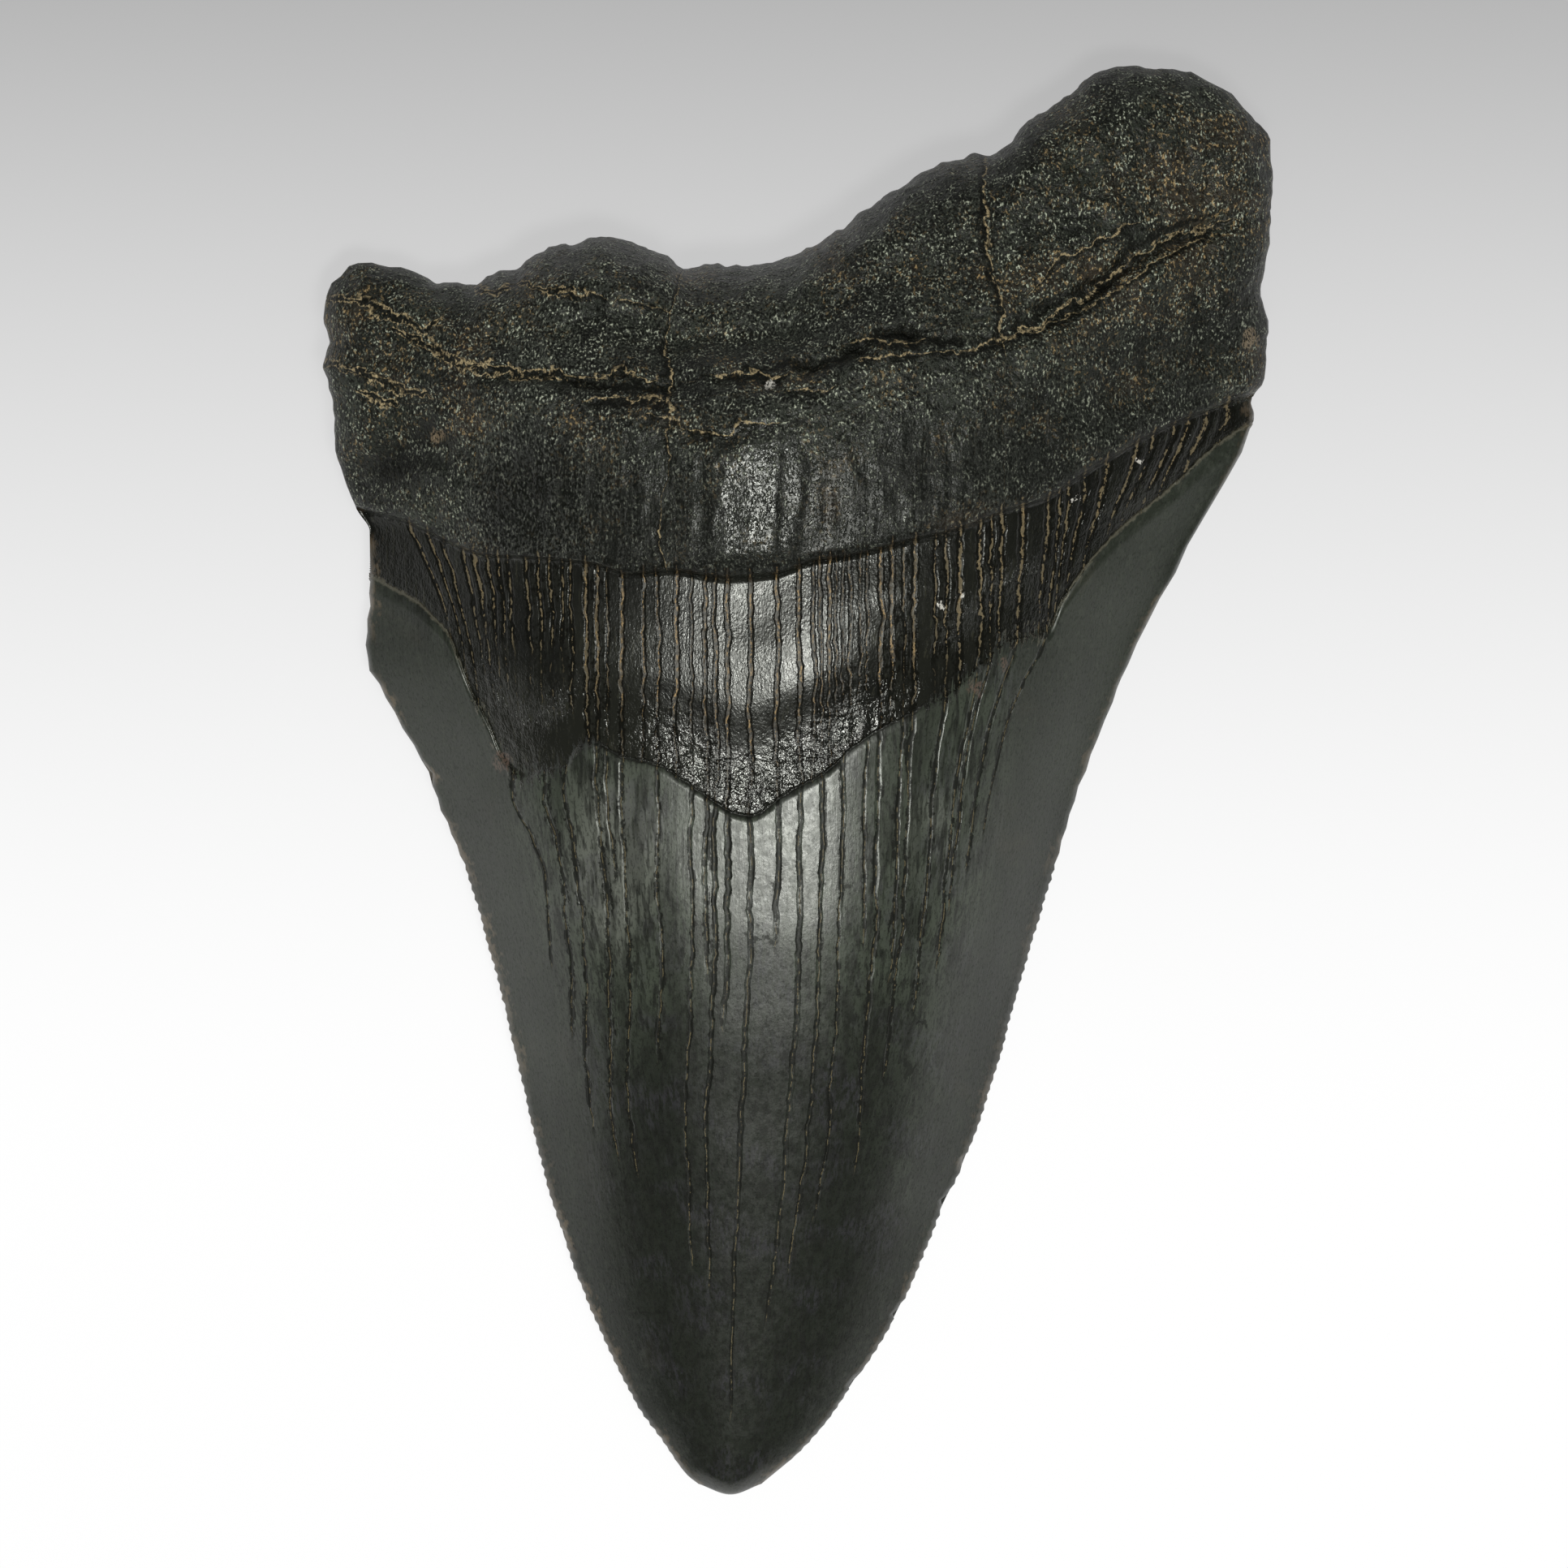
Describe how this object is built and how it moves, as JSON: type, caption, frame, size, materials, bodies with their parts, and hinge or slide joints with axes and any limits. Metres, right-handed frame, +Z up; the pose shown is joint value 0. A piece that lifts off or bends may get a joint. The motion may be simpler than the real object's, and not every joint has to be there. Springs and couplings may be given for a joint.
{
  "type": "fossil shark tooth",
  "caption": "Large fossil shark tooth lying on its flat face: dark rough root with uneven lobes, cracked glossy band under it, grey domed crown with a worn tip and serrated edges.",
  "frame": {"origin": "middle of the tooth's outline, on the surface it lies on", "axes": "+Y from the tip towards the root along the tooth's length, +Z up out of the lingual face, +X to the right with the root at the top, towards the taller root lobe"},
  "size_m": [0.0798, 0.12, 0.0263],
  "materials": {
    "fossil_tooth": "polished grey enamel on the crown, near-black glossy band with tan cracks, and a duller, grainy dark root"
  },
  "bodies": {
    "root": {"tooth": "fossil_tooth"}
  },
  "joints": []
}
